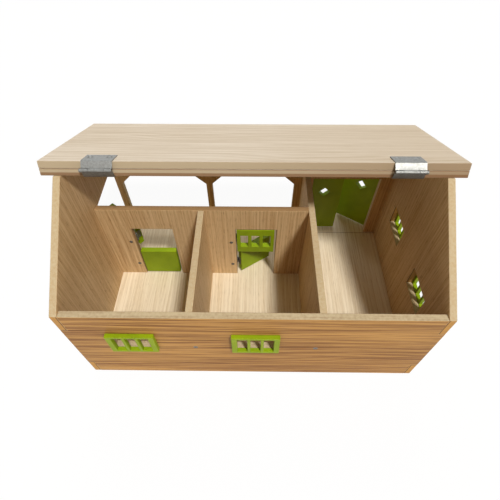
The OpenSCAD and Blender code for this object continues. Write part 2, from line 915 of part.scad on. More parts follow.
base_board();
back_wall();
left_side_wall();
right_side_wall();
box_partition();
store_partition();
box_front_wall();
front_panel();
front_roof();
back_window_left();
back_window_right();
side_window_rear();
side_window_front();
back_wall_screws();
left_roof_hinge_fixed_strap();
right_roof_hinge_fixed_strap();
roof_hinge_pins();
fixed_strap_screws();
roof_flap();
left_roof_hinge_flap_strap();
right_roof_hinge_flap_strap();
flap_strap_screws();
left_upper_wall_leaf();
left_lower_wall_leaf();
right_upper_wall_leaf();
right_lower_wall_leaf();
wall_leaf_rivets();
door_hinge_pins();
left_upper_door();
left_upper_door_leaf();
left_upper_leaf_pins();
left_lower_door();
left_lower_door_leaf();
left_lower_leaf_pins();
right_upper_door();
right_upper_door_leaf();
right_upper_leaf_pins();
right_lower_door();
right_lower_door_leaf();
right_lower_leaf_pins();
store_left_top_wall_leaf();
store_left_bottom_wall_leaf();
store_right_top_wall_leaf();
store_right_bottom_wall_leaf();
store_wall_leaf_screws();
store_left_door();
store_left_top_door_leaf();
store_left_bottom_door_leaf();
store_left_leaf_pins();
store_right_door();
store_right_top_door_leaf();
store_right_bottom_door_leaf();
store_right_leaf_pins();
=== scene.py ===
"""Looks of a toy barn with opening doors: boards, green doors and grilles, and steel hinges."""

from __future__ import annotations

import logging
import math
from dataclasses import dataclass
from enum import Enum

import bmesh
import bpy
from mathutils import Matrix, Vector

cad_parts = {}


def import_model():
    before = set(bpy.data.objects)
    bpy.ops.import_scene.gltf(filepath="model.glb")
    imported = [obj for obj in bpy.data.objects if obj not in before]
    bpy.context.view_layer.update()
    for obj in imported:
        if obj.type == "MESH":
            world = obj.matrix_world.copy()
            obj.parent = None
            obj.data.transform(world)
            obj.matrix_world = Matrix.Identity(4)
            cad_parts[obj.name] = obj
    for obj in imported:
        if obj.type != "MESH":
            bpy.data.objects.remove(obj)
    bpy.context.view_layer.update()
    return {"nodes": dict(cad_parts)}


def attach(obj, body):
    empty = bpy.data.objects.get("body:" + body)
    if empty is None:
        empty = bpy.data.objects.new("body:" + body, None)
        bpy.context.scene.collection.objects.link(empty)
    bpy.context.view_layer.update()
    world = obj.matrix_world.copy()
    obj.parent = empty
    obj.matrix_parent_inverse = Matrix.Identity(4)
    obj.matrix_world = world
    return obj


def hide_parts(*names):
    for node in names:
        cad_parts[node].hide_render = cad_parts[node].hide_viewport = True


MM = 0.001
BOARD = 9 * MM
ROOF_SLOPE = math.radians(21.8)
Colour = tuple[float, float, float]
Point = tuple[float, float, float]
Spot = tuple[float, float]
log = logging.getLogger("barn")


def srgb(red: float, green: float, blue: float) -> Colour:
    """Turn a colour on the 0 to 255 scale of a picture into linear light.

    Args:
        red: Red, from 0 to 255.
        green: Green, from 0 to 255.
        blue: Blue, from 0 to 255.

    Returns:
        The colour in linear light, from 0 to 1.
    """
    def one(value: float) -> float:
        """Return one channel in linear light."""
        share = value / 255
        return share / 12.92 if share <= 0.04045 else ((share + 0.055) / 1.055) ** 2.4

    return one(red), one(green), one(blue)


class Signal:
    """A number in a material's nodes that takes part in plain arithmetic."""

    def __init__(self, recipe: "Recipe", socket: bpy.types.NodeSocket) -> None:
        """Keep the socket and the recipe that it belongs to."""
        self.recipe = recipe
        self.socket = socket

    def _maths(self, operation: str, *values: "Signal | float") -> "Signal":
        """Add one Math node.

        Args:
            operation: The Math node's operation.
            *values: What the node works on, in order.

        Returns:
            The node's result.
        """
        node = self.recipe.node("ShaderNodeMath", {"operation": operation}, dict(enumerate(values)))
        return Signal(self.recipe, node.outputs[0])

    def __add__(self, other: "Signal | float") -> "Signal":
        """Return the sum."""
        return self._maths("ADD", self, other)

    def __sub__(self, other: "Signal | float") -> "Signal":
        """Return the difference."""
        return self._maths("SUBTRACT", self, other)

    def __rsub__(self, other: float) -> "Signal":
        """Return a number less this signal."""
        return self._maths("SUBTRACT", other, self)

    def __mul__(self, other: "Signal | float") -> "Signal":
        """Return the product."""
        return self._maths("MULTIPLY", self, other)

    def __abs__(self) -> "Signal":
        """Return the size without its sign."""
        return self._maths("ABSOLUTE", self)

    def wave(self) -> "Signal":
        """Return the sine, from -1 to 1."""
        return self._maths("SINE", self)

    def floor(self) -> "Signal":
        """Return the whole number below."""
        return self._maths("FLOOR", self)

    def between(self, low: float, high: float) -> "Signal":
        """Ramp smoothly from 0 to 1.

        Args:
            low: The value that gives 0.
            high: The value that gives 1.

        Returns:
            The ramp's result.
        """
        node = self.recipe.node(
            "ShaderNodeMapRange",
            {"interpolation_type": "SMOOTHSTEP", "clamp": True},
            {"Value": self, "From Min": low, "From Max": high},
        )
        return Signal(self.recipe, node.outputs[0])


class Recipe:
    """The nodes of one material, with its surface and output already there."""

    def __init__(self, name: str) -> None:
        """Start an empty material.

        Args:
            name: The material's name.
        """
        self.material = bpy.data.materials.new(name)
        self.material.use_nodes = True
        self.tree = self.material.node_tree
        self.tree.nodes.clear()
        self.surface = self.node("ShaderNodeBsdfPrincipled")
        self.output = self.node("ShaderNodeOutputMaterial")
        self.tree.links.new(self.surface.outputs[0], self.output.inputs["Surface"])
        self.place = self.node("ShaderNodeTexCoord")

    def node(
        self, kind: str, settings: dict | None = None, inputs: dict | None = None
    ) -> bpy.types.Node:
        """Add a node.

        Args:
            kind: The node's type.
            settings: Its properties, set first.
            inputs: What goes into its sockets, by name or number.

        Returns:
            The new node.
        """
        made = self.tree.nodes.new(kind)
        for key, value in (settings or {}).items():
            setattr(made, key, value)
        for key, value in (inputs or {}).items():
            self.feed(made.inputs[key], value)
        return made

    def feed(self, socket: bpy.types.NodeSocket, value: object) -> None:
        """Put a number, a colour or a link into a socket.

        Args:
            socket: The socket to fill.
            value: A Signal, another socket, a number or a tuple.
        """
        if isinstance(value, Signal):
            value = value.socket
        if isinstance(value, bpy.types.NodeSocket):
            self.tree.links.new(value, socket)
            return
        if isinstance(value, tuple) and len(value) == 3 and len(socket.default_value) == 4:
            value = (*value, 1.0)
        socket.default_value = value

    def noise(
        self, at: bpy.types.NodeSocket, stretch: Point, detail: float = 2.0, shift: float = 0.0
    ) -> Signal:
        """Add a noise pattern.

        Args:
            at: The place to read it at, in metres.
            stretch: Its bumps per metre along each axis.
            detail: How many finer layers it has.
            shift: Moves the pattern, so that two patterns differ.

        Returns:
            The noise, about 0 to 1.
        """
        spread = self.node(
            "ShaderNodeVectorMath",
            {"operation": "MULTIPLY_ADD"},
            {0: at, 1: stretch, 2: (shift, 1.7 * shift, 2.3 * shift)},
        )
        node = self.node(
            "ShaderNodeTexNoise",
            {"noise_dimensions": "3D"},
            {"Vector": spread.outputs[0], "Scale": 1.0, "Detail": detail, "Roughness": 0.55},
        )
        return Signal(self, node.outputs[0])

    def along(self, grain: "Grain") -> bpy.types.NodeSocket:
        """Turn the object's coordinates so that X runs along the grain.

        Args:
            grain: The way the grain runs.

        Returns:
            The turned place.
        """
        turn = tuple(math.radians(a) for a in grain.value)
        inputs = {"Vector": self.place.outputs["Object"], "Rotation": turn}
        return self.node("ShaderNodeMapping", {"vector_type": "POINT"}, inputs).outputs[0]

    def parts(self, at: bpy.types.NodeSocket) -> tuple[Signal, Signal, Signal]:
        """Split a vector into its three parts."""
        node = self.node("ShaderNodeSeparateXYZ", None, {0: at})
        return tuple(Signal(self, out) for out in node.outputs)

    def share(self, kind: str, direction: Point) -> Signal:
        """Measure the object's place or normal along a direction.

        Args:
            kind: The Texture Coordinate node's output to measure.
            direction: The direction, of length 1.

        Returns:
            The length along the direction.
        """
        inputs = {0: self.place.outputs[kind], 1: direction}
        node = self.node("ShaderNodeVectorMath", {"operation": "DOT_PRODUCT"}, inputs)
        return Signal(self, node.outputs["Value"])

    def blend(
        self, share: Signal | float, first: object, second: object, way: str = "MIX"
    ) -> bpy.types.NodeSocket:
        """Mix two colours.

        Args:
            share: How much of the second colour there is.
            first: The first colour.
            second: The second colour.
            way: The Mix node's blend type.

        Returns:
            The mixed colour.
        """
        node = self.node(
            "ShaderNodeMix",
            {"data_type": "RGBA", "blend_type": way, "clamp_factor": True},
            {0: share, 6: first, 7: second},
        )
        return node.outputs[2]

    def relief(self, height: Signal, depth: float, strength: float = 1.0) -> None:
        """Give the surface a relief.

        Args:
            height: The height pattern, 0 to 1.
            depth: How deep the relief is, in metres.
            strength: How strongly it shows.
        """
        bump = self.node(
            "ShaderNodeBump", None, {"Strength": strength, "Distance": depth, "Height": height}
        )
        self.feed(self.surface.inputs["Normal"], bump.outputs[0])

    def look(self, **inputs: object) -> None:
        """Fill the surface shader's sockets, named with underscores for spaces."""
        for key, value in inputs.items():
            self.feed(self.surface.inputs[key.replace("_", " ")], value)


class Grain(Enum):
    """The way a board's grain runs, with the turn that lays it along X."""

    ALONG_X = (0.0, 0.0, 0.0)
    ALONG_Y = (0.0, 0.0, -90.0)
    ALONG_Z = (0.0, 90.0, 0.0)


class Pattern(Enum):
    """A pattern in board, with its bumps per metre along each axis."""

    CLOUD = (3.0, 16.0, 16.0)
    BEND = (5.0, 9.0, 9.0)
    STREAK = (7.0, 430.0, 430.0)
    FIBRE = (30.0, 1300.0, 1300.0)
    DASH = (75.0, 1500.0, 1500.0)
    SAWN = (260.0, 260.0, 260.0)
    LAYER = (8.0, 420.0, 420.0)
    REAR = (8.0, 8.0, 300.0)


class Facing(Enum):
    """The direction that a board's broad faces look in."""

    X = (1.0, 0.0, 0.0)
    Y = (0.0, 1.0, 0.0)
    Z = (0.0, 0.0, 1.0)
    ROOF = (0.0, math.sin(ROOF_SLOPE), math.cos(ROOF_SLOPE))


@dataclass(frozen=True)
class BoardFinish:
    """Sanded oak-toned board: grained faces, and plain sawn edges."""

    name: str
    grain: Grain
    facing: Facing
    light: Colour = srgb(222, 194, 150)
    dark: Colour = srgb(172, 132, 84)
    pore: Colour = srgb(120, 84, 52)
    edge: Colour = srgb(194, 177, 144)
    # Painted shade tone for faces that look back, if the board has any.
    rear: Colour | None = None
    seams: tuple[tuple[int, float], ...] = ()
    contrast: float = 0.6
    pores: float = 0.5
    rings: float = 1150.0
    seam: Colour = srgb(84, 48, 22)
    stave: float = 0.0
    # Level along the roof's normal below which the edge is darker; a painted shade line at the
    # parting lies 3.2 to 4 mm above it.
    layer: float = 0.0
    # How much darker edges and faces get towards +X.
    darker_rightward: float = 0.0
    shift: float = 0.0
    joint: float = 0.0

    def _toned(self, r: Recipe, rim: object, colour: object) -> tuple[object, object]:
        """Give the edges and the faces the tones that depend on where they are on the board, with
        painted shade where faces look back and at the roof's parting.

        Args:
            r: The material's recipe.
            rim: The edges' colour.
            colour: The faces' colour.

        Returns:
            The two colours.
        """
        place = r.parts(r.place.outputs["Object"])
        # On the roof's edge: darker over its lower half, below the level layer.
        if self.layer:
            level = r.share("Object", self.facing.value)
            above = level.between(self.layer - 0.5 * MM, self.layer)
            rim = r.blend((1 - above) * 0.75, rim, self.pore)
            # Painted shade along the top arris, where the flap parts from the front roof.
            parting_shade = level.between(self.layer + 3.2 * MM, self.layer + 4.0 * MM)
            rim = r.blend(parting_shade * 0.8, rim, self.pore)
        # Edges and faces darker towards +X, from x = -60 mm to 280 mm.
        if self.darker_rightward:
            aside = place[0].between(-0.06, 0.28) * self.darker_rightward
            rim, colour = r.blend(aside, rim, self.pore), r.blend(aside, colour, self.dark)
        if self.joint:
            off = abs(place[1] - self.joint)
            near = place[0].between(90 * MM, 91 * MM)
            colour = r.blend(off.between(0.9 * MM, 0.4 * MM) * near * 0.6, colour, self.pore)
        # Faces that look back get painted shade in the back wall's tone, with a streak and dark
        # seams along the tabs.
        if self.rear:
            normal = r.parts(r.place.outputs["Normal"])
            rear_shade_mask = (normal[1] * -1.0).between(0.8, 0.95)
            streak = r.noise(r.place.outputs["Object"], Pattern.REAR.value, 3.0, self.shift + 51)
            rear_shade_and_seams = r.blend(streak.between(0.35, 0.65) * 0.5, self.rear, self.dark)
            for axis, spot in self.seams:
                off = abs(abs(place[axis]) - spot)
                rear_shade_and_seams = r.blend(off.between(2.0 * MM, 0.6 * MM) * 0.85, rear_shade_and_seams, self.seam)
            rim = r.blend(rear_shade_mask, rim, rear_shade_and_seams)
        return rim, colour

    def make(self) -> bpy.types.Material:
        """Build the material.

        Returns:
            The board's material.
        """
        r = Recipe(self.name)
        at = r.along(self.grain)
        parts = r.parts(at)
        across = parts[1] + parts[2]
        cloud = r.noise(at, Pattern.CLOUD.value, 2.0, self.shift)
        bend = r.noise(at, Pattern.BEND.value, 1.0, self.shift + 5)
        rings = (across * self.rings + bend * 40.0 + cloud * 12.0).wave() * 0.5 + 0.5
        streak = r.noise(at, Pattern.STREAK.value, 3.0, self.shift + 11)
        fibre = r.noise(at, Pattern.FIBRE.value, 2.0, self.shift + 19)
        dash = r.noise(at, Pattern.DASH.value, 1.0, self.shift + 29).between(0.57, 0.68)
        depth = (
            streak.between(0.32, 0.7) * 0.5
            + rings * cloud.between(0.35, 0.65) * 0.22
            + fibre * 0.28
        )
        tone = (depth - 0.45) * (2.0 * self.contrast) + 0.45
        colour = r.blend(tone, self.light, self.dark)
        if self.stave:
            step = (across * (1 / self.stave) + 0.37).floor()
            stave = r.node("ShaderNodeTexWhiteNoise", {"noise_dimensions": "1D"}, {"W": step + 3.0})
            colour = r.blend(Signal(r, stave.outputs[0]) * 0.3, colour, self.dark)
        colour = r.blend(dash * streak.between(0.3, 0.6) * self.pores, colour, self.pore)
        sawn = r.noise(at, Pattern.SAWN.value, 3.0, self.shift + 37)
        layer = r.noise(at, Pattern.LAYER.value, 2.0, self.shift + 43)
        rim = r.blend((sawn * 0.5 + layer * 0.5).between(0.35, 0.75) * 0.45, self.edge, self.dark)
        rim, colour = self._toned(r, rim, colour)
        face = abs(r.share("Normal", self.facing.value)).between(0.6, 0.9)
        r.look(
            Base_Color=r.blend(face, rim, colour),
            Roughness=(1 - face) * 0.22 + fibre * 0.16 + dash * 0.12 + 0.42,
            Specular_IOR_Level=0.2,
        )
        r.relief(face * (fibre * 0.5 - dash * 0.9) + (1 - face) * sawn * 0.7, 0.12 * MM, 0.55)
        return r.material


@dataclass(frozen=True)
class PaintFinish:
    """Satin paint rolled on board, with the fibre faintly showing through."""

    name: str
    colour: Colour = srgb(142, 166, 10)
    shade: Colour = srgb(112, 136, 6)
    grain: Grain = Grain.ALONG_Z

    def make(self) -> bpy.types.Material:
        """Build the material.

        Returns:
            The paint's material.
        """
        r = Recipe(self.name)
        at = r.along(self.grain)
        cloud = r.noise(at, (22.0, 30.0, 30.0), 3.0, 3)
        fibre = r.noise(at, (30.0, 620.0, 620.0), 3.0, 7)
        peel = r.noise(at, (900.0, 900.0, 900.0), 2.0, 13)
        tone = cloud.between(0.3, 0.75) * 0.45 + fibre * 0.3
        r.look(
            Base_Color=r.blend(tone, self.colour, self.shade),
            Roughness=cloud * 0.12 + peel * 0.1 + 0.38,
            Specular_IOR_Level=0.2,
        )
        r.relief(fibre * 0.5 + peel * 0.5, 0.09 * MM, 0.5)
        return r.material


@dataclass(frozen=True)
class SteelFinish:
    """Bright zinc-plated steel with the marks of rolling and handling."""

    name: str
    bright: Colour = srgb(134, 134, 131)
    dull: Colour = srgb(106, 105, 100)
    gloss: float = 0.4

    def make(self) -> bpy.types.Material:
        """Build the material.

        Returns:
            The steel's material.
        """
        r = Recipe(self.name)
        at = r.place.outputs["Object"]
        mottle = r.noise(at, (420.0, 420.0, 420.0), 3.0, 3)
        rolled = r.noise(at, (60.0, 1900.0, 1900.0), 2.0, 7)
        scuff = r.noise(at, (1400.0, 300.0, 700.0), 3.0, 13).between(0.58, 0.72)
        worn = mottle.between(0.3, 0.75) * 0.6 + scuff * 0.2
        r.look(
            Base_Color=r.blend(worn, self.bright, self.dull),
            Metallic=1.0,
            Roughness=mottle * 0.08 + rolled * 0.1 + scuff * 0.06 + self.gloss,
        )
        r.relief(rolled * 0.6 + scuff * 0.4, 0.03 * MM, 0.5)
        return r.material


def finish_mesh(
    name: str, shape: bmesh.types.BMesh, material: bpy.types.Material
) -> bpy.types.Object:
    """Turn a bmesh into an object with smooth shading and one material.

    Args:
        name: The object's name.
        shape: The bmesh, which is freed.
        material: The object's material.

    Returns:
        The new object.
    """
    for face in shape.faces:
        face.smooth = True
    data = bpy.data.meshes.new(name)
    shape.to_mesh(data)
    shape.free()
    for spare in [a for a in data.attributes if a.name == "custom_normal"]:
        data.attributes.remove(spare)
    data.materials.clear()
    data.materials.append(material)
    made = bpy.data.objects.new(name, data)
    bpy.context.scene.collection.objects.link(made)
    return made


def place_piece(piece: bpy.types.Object, body: str, slot: str, *nodes: str) -> None:
    """Let a finished piece ride on its body in place of its nodes, and report it.

    Args:
        piece: The finished piece.
        body: The body that it moves with.
        slot: A material slot's name; not used.
        *nodes: The nodes that it stands for.
    """
    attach(piece, body)
    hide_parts(*nodes)
    log.info("%s on %s for %s", piece.name, body, ", ".join(nodes))


def even_shading(piece: bpy.types.Object) -> None:
    """Keep a rounded board's broad faces flat in the light."""
    made = piece.modifiers.new("Even shading", "WEIGHTED_NORMAL")
    made.keep_sharp = True


def ease(
    shape: bmesh.types.BMesh,
    edges: list[bmesh.types.BMEdge],
    offset: float,
    steps: int,
    clamp: bool = False,
) -> None:
    """Round edges off.

    Args:
        shape: The bmesh.
        edges: Its edges to round.
        offset: How far the rounding reaches.
        steps: How many steps it has.
        clamp: Whether roundings stop where they would meet.
    """
    bmesh.ops.bevel(
        shape,
        geom=edges,
        offset=offset,
        affect="EDGES",
        segments=steps,
        profile=0.5,
        material=-1,
        clamp_overlap=clamp,
    )


@dataclass
class RoundedBoards:
    """Boards cut as the model's solids are, with their long edges eased."""

    solids: dict[str, bpy.types.Object]
    easing: float = 0.7 * MM
    steps: int = 3
    shortest: float = 1.6 * MM

    def cut(self, node: str) -> bmesh.types.BMesh:
        """Copy a solid and ease its edges.

        Args:
            node: The solid's name.

        Returns:
            The eased copy.
        """
        shape = bmesh.new()
        shape.from_mesh(self.solids[node].data)
        bmesh.ops.remove_doubles(shape, verts=shape.verts, dist=0.004 * MM)
        bmesh.ops.dissolve_limit(
            shape, angle_limit=math.radians(0.6), verts=shape.verts, edges=shape.edges
        )
        sharp = [
            e
            for e in shape.edges
            if e.is_manifold
            and e.calc_face_angle() > math.radians(25)
            and e.calc_length() > self.shortest
        ]
        ease(shape, sharp, self.easing, self.steps, clamp=True)
        return shape

    def lay(
        self, node: str, body: str, material: bpy.types.Material, slot: str = "natural_board"
    ) -> bpy.types.Object:
        """Cut a board, dress it and put it on its body.

        Args:
            node: The solid's name.
            body: The body that it moves with.
            material: The board's material.
            slot: A material slot's name, handed on to place_piece.

        Returns:
            The board.
        """
        board = finish_mesh(f"{node}_board", self.cut(node), material)
        even_shading(board)
        place_piece(board, body, slot, node)
        return board


@dataclass
class Carcass:
    """The base, the walls, the partitions and the front panel."""

    boards: RoundedBoards

    def build(self) -> None:
        """Build every fixed board of the barn's shell."""
        # The back wall's warmer, darker tones are partly painted shade of faces that look back and
        # partly its own strong grain; the side walls' rear faces get the same painted shade.
        back_shaded_tone = srgb(190, 144, 80)
        seams = ((0, 231.0 * MM), (2, 137.5 * MM), (2, 34.6 * MM))
        floor = BoardFinish(
            "floor_board",
            Grain.ALONG_Y,
            Facing.Z,
            light=srgb(238, 226, 202),
            dark=srgb(200, 178, 142),
            contrast=0.5,
            pores=0.25,
            shift=2,
            joint=104 * MM,
        )
        back = BoardFinish(
            "back_wall_board",
            Grain.ALONG_X,
            Facing.Y,
            light=back_shaded_tone,
            dark=srgb(112, 66, 24),
            edge=srgb(190, 174, 142),
            contrast=1.0,
            pores=0.3,
            shift=7,
        )
        sides = [
            BoardFinish(
                f"{word}_wall_board",
                Grain.ALONG_Z,
                Facing.X,
                contrast=0.4,
                rear=back_shaded_tone,
                seams=seams,
                shift=shift,
            )
            for word, shift in (("left", 13), ("right", 19))
        ]
        inner = BoardFinish("partition_board", Grain.ALONG_Z, Facing.X, contrast=0.4, shift=23)
        cross = BoardFinish(
            "box_front_board",
            Grain.ALONG_Z,
            Facing.Y,
            edge=srgb(150, 120, 84),
            contrast=0.5,
            shift=31,
        )
        front = BoardFinish(
            "front_panel_board",
            Grain.ALONG_Z,
            Facing.Y,
            light=srgb(206, 170, 118),
            dark=srgb(160, 116, 66),
            contrast=0.5,
            shift=37,
        )
        for finish, nodes in (
            (floor, ("base_board",)),
            (back, ("back_wall",)),
            (sides[0], ("left_side_wall",)),
            (sides[1], ("right_side_wall",)),
            (inner, ("box_partition", "store_partition")),
            (cross, ("box_front_wall",)),
            (front, ("front_panel",)),
        ):
            material = finish.make()
            for node in nodes:
                self.boards.lay(node, "barn", material)


@dataclass
class Ridge:
    """The line of the roof pins, and the frame that the roof is built in."""

    pin_y: float = -28.689029 * MM
    pin_z: float = 279.555018 * MM
    slope: float = ROOF_SLOPE

    def frame(self, flap: bool) -> Matrix:
        """Give the place of the roof's own frame.

        Args:
            flap: Whether the frame is the open flap's, which is the front roof's turned over.

        Returns:
            The matrix: X along the pin, Y down the roof and Z out of it.
        """
        turned = Matrix.Diagonal((1, 1, -1, 1)) if flap else Matrix.Identity(4)
        return (
            Matrix.Translation((0, self.pin_y, self.pin_z))
            @ Matrix.Rotation(-self.slope, 4, "X")
            @ turned
        )


@dataclass
class Roof:
    """The two roof boards."""

    ridge: Ridge
    width: float = 510 * MM
    length: float = 188 * MM
    thickness: float = BOARD
    below_pin: float = 9.1 * MM
    from_pin: float = 6.5688 * MM
    easing: float = 0.8 * MM

    def board(self, flap: bool) -> bmesh.types.BMesh:
        """Cut one roof board.

        Args:
            flap: Whether the board is the flap.

        Returns:
            The board, in place.
        """
        shape = bmesh.new()
        bmesh.ops.create_cube(shape, size=1.0)
        bmesh.ops.scale(shape, vec=(self.width, self.length, self.thickness), verts=shape.verts)
        bmesh.ops.translate(
            shape,
            vec=(0, self.from_pin + self.length / 2, self.thickness / 2 - self.below_pin),
            verts=shape.verts,
        )
        ease(shape, shape.edges[:], self.easing, 3)
        bmesh.ops.transform(shape, matrix=self.ridge.frame(flap), verts=shape.verts)
        bmesh.ops.recalc_face_normals(shape, faces=shape.faces)
        return shape

    def build(self) -> None:
        """Build the front roof and the flap that lies open on it."""
        for flap, node, body in ((False, "front_roof", "barn"), (True, "roof_flap", "roof_flap")):
            finish = BoardFinish(
                f"{node}_board",
                Grain.ALONG_X,
                Facing.ROOF,
                light=srgb(216, 206, 192),
                dark=srgb(180, 162, 136),
                edge=srgb(176, 160, 134),
                contrast=0.75,
                pores=0.12,
                stave=47 * MM,
                layer=0.0 if flap else 244.3 * MM,
                darker_rightward=0.45,
                shift=41.0 + 6 * flap,
            )
            piece = finish_mesh(f"{node}_board", self.board(flap), finish.make())
            even_shading(piece)
            place_piece(piece, body, "natural_board", node)


@dataclass
class GreenParts:
    """The painted window grilles and doors."""

    boards: RoundedBoards

    def build(self) -> None:
        """Build the four grilles and the six doors."""
        paint = PaintFinish("green_paint").make()
        for node in (
            "back_window_left", "back_window_right", "side_window_rear", "side_window_front"
        ):
            self.boards.lay(node, "barn", paint, "green_board")
        for door in (
            "left_upper_door",
            "left_lower_door",
            "right_upper_door",
            "right_lower_door",
            "store_left_door",
            "store_right_door",
        ):
            self.boards.lay(door, door, paint, "green_board")


def knuckle_rows(
    length: float, gap: float, middle: bool
) -> tuple[tuple[float, ...], tuple[int, ...]]:
    """Divide a hinge leaf's row into its knuckles and the gaps between them.

    Args:
        length: The hinge's length along the pin.
        gap: The gap between two knuckles.
        middle: Whether the leaf has the middle knuckle, and not the outer two.

    Returns:
        The row's stations, and which of the runs between them are knuckles.
    """
    half, mid, play = length / 2, length / 4, gap / 2
    if middle:
        return (-half, -mid + play, mid - play, half), (1,)
    return (-half, -half + play, -mid - play, mid + play, half - play, half), (1, 3)


@dataclass(frozen=True)
class RolledLeaf:
    """A hinge leaf bent from one sheet, with fingers rolled round the pin.

    The pin is the local Z axis. The plate and the fingers part at a straight row.
    """

    thickness: float
    row: Spot
    plate: tuple[Spot, ...]
    arm: tuple[Spot, ...]
    sweep: float
    stations: tuple[float, ...]
    fingers: tuple[int, ...]
    bend: float

    def _drawn_out(
        self, shape: bmesh.types.BMesh, edges: list[bmesh.types.BMEdge], move: Spot
    ) -> list[bmesh.types.BMEdge]:
        """Draw a run of edges out by one step.

        Args:
            shape: The sheet so far.
            edges: The edges to draw out.
            move: The step, in the plane across the pin.

        Returns:
            The new run of edges.
        """
        made = bmesh.ops.extrude_edge_only(shape, edges=edges)["geom"]
        verts = {v for v in made if isinstance(v, bmesh.types.BMVert)}
        bmesh.ops.translate(shape, vec=(*move, 0), verts=list(verts))
        return [
            e
            for e in made
            if isinstance(e, bmesh.types.BMEdge) and all(v in verts for v in e.verts)
        ]

    def sheet(self) -> bmesh.types.BMesh:
        """Bend the sheet's middle surface.

        Returns:
            The open surface, to be given its thickness.
        """
        shape = bmesh.new()
        row = [shape.verts.new((*self.row, z)) for z in self.stations]
        edges = [shape.edges.new(pair) for pair in zip(row, row[1:])]
        run, here = edges, self.row
        for spot in self.plate:
            run = self._drawn_out(shape, run, (spot[0] - here[0], spot[1] - here[1]))
            here = spot
        for index in self.fingers:
            run, here = [edges[index]], self.row
            for spot in self.arm:
                run = self._drawn_out(shape, run, (spot[0] - here[0], spot[1] - here[1]))
                here = spot
            bmesh.ops.spin(
                shape,
                geom=run + list(run[0].verts),
                cent=(0, 0, 0),
                axis=(0, 0, 1),
                angle=math.radians(self.sweep),
                steps=26,
                use_merge=False,
                use_duplicate=False,
            )
        bmesh.ops.remove_doubles(shape, verts=shape.verts, dist=0.002 * MM)
        sharp = [
            e
            for e in shape.edges
            if e.is_manifold and e.calc_face_angle(0) > math.radians(35)
        ]
        if sharp:
            ease(shape, sharp, self.bend, 4)
        bmesh.ops.recalc_face_normals(shape, faces=shape.faces)
        return shape

    def piece(self, name: str, place: Matrix, steel: bpy.types.Material) -> bpy.types.Object:
        """Make the finished leaf.

        Args:
            name: The leaf's name.
            place: Where the pin's frame is.
            steel: The leaf's material.

        Returns:
            The leaf.
        """
        shape = self.sheet()
        bmesh.ops.transform(shape, matrix=place, verts=shape.verts)
        made = finish_mesh(name, shape, steel)
        thick = made.modifiers.new("Sheet", "SOLIDIFY")
        thick.thickness = self.thickness
        thick.offset = 0
        thick.use_even_offset = True
        rim = made.modifiers.new("Rim", "BEVEL")
        rim.width = 0.14 * MM
        rim.segments = 2
        rim.limit_method = "ANGLE"
        rim.angle_limit = math.radians(50)
        rim.harden_normals = True
        return made


@dataclass(frozen=True)
class Recess:
    """The cross recess in a screw's head."""

    reach: float
    width: float
    depth: float

    def cutter(self, top: float) -> bmesh.types.BMesh:
        """Make the shape that the driver leaves.

        Args:
            top: The height of the head's top.

        Returns:
            The cross, narrowing towards its bottom.
        """
        shape = bmesh.new()
        for turn in (0, 90):
            made = bmesh.ops.create_cube(shape, size=1.0)["verts"]
            bmesh.ops.scale(shape, vec=(2 * self.reach, self.width, 2 * self.depth), verts=made)
            low = [v for v in made if v.co.z < 0]
            bmesh.ops.scale(shape, vec=(0.45, 0.8, 1), verts=low)
            bmesh.ops.rotate(
                shape,
                cent=(0, 0, 0),
                matrix=Matrix.Rotation(math.radians(turn), 3, "Z"),
                verts=made,
            )
            bmesh.ops.translate(shape, vec=(0, 0, top), verts=made)
        return shape


def turned(profile: tuple[Spot, ...], steps: int = 40) -> bmesh.types.BMesh:
    """Turn a profile round Z into a closed solid.

    Args:
        profile: Radius and height of each point, from the axis to the axis.
        steps: How many steps the turn has.

    Returns:
        The solid.
    """
    shape = bmesh.new()
    verts = [shape.verts.new((r, 0, z)) for r, z in profile]
    edges = [shape.edges.new(pair) for pair in zip(verts, verts[1:])]
    bmesh.ops.spin(
        shape,
        geom=verts + edges,
        cent=(0, 0, 0),
        axis=(0, 0, 1),
        angle=math.tau,
        steps=steps,
        use_merge=True,
        use_duplicate=False,
    )
    bmesh.ops.remove_doubles(shape, verts=shape.verts, dist=0.001 * MM)
    bmesh.ops.recalc_face_normals(shape, faces=shape.faces)
    return shape


def dome_profile(radius: float, height: float, below: float, shank: float) -> tuple[Spot, ...]:
    """Draw the profile of a domed fastener.

    Args:
        radius: The head's radius.
        height: The head's height.
        below: How far its shank reaches below the head.
        shank: The shank's radius.

    Returns:
        The profile, from the axis at the bottom to the axis at the top.
    """
    ball = (radius**2 + height**2) / (2 * height)
    arc = []
    for i in range(9):
        angle = math.asin(min(1, radius / ball)) * (1 - i / 8)
        arc.append((ball * math.sin(angle), height - ball + ball * math.cos(angle)))
    return ((0, -below), (shank, -below), (shank, 0), (radius, 0), *arc[:-1], (0, height))


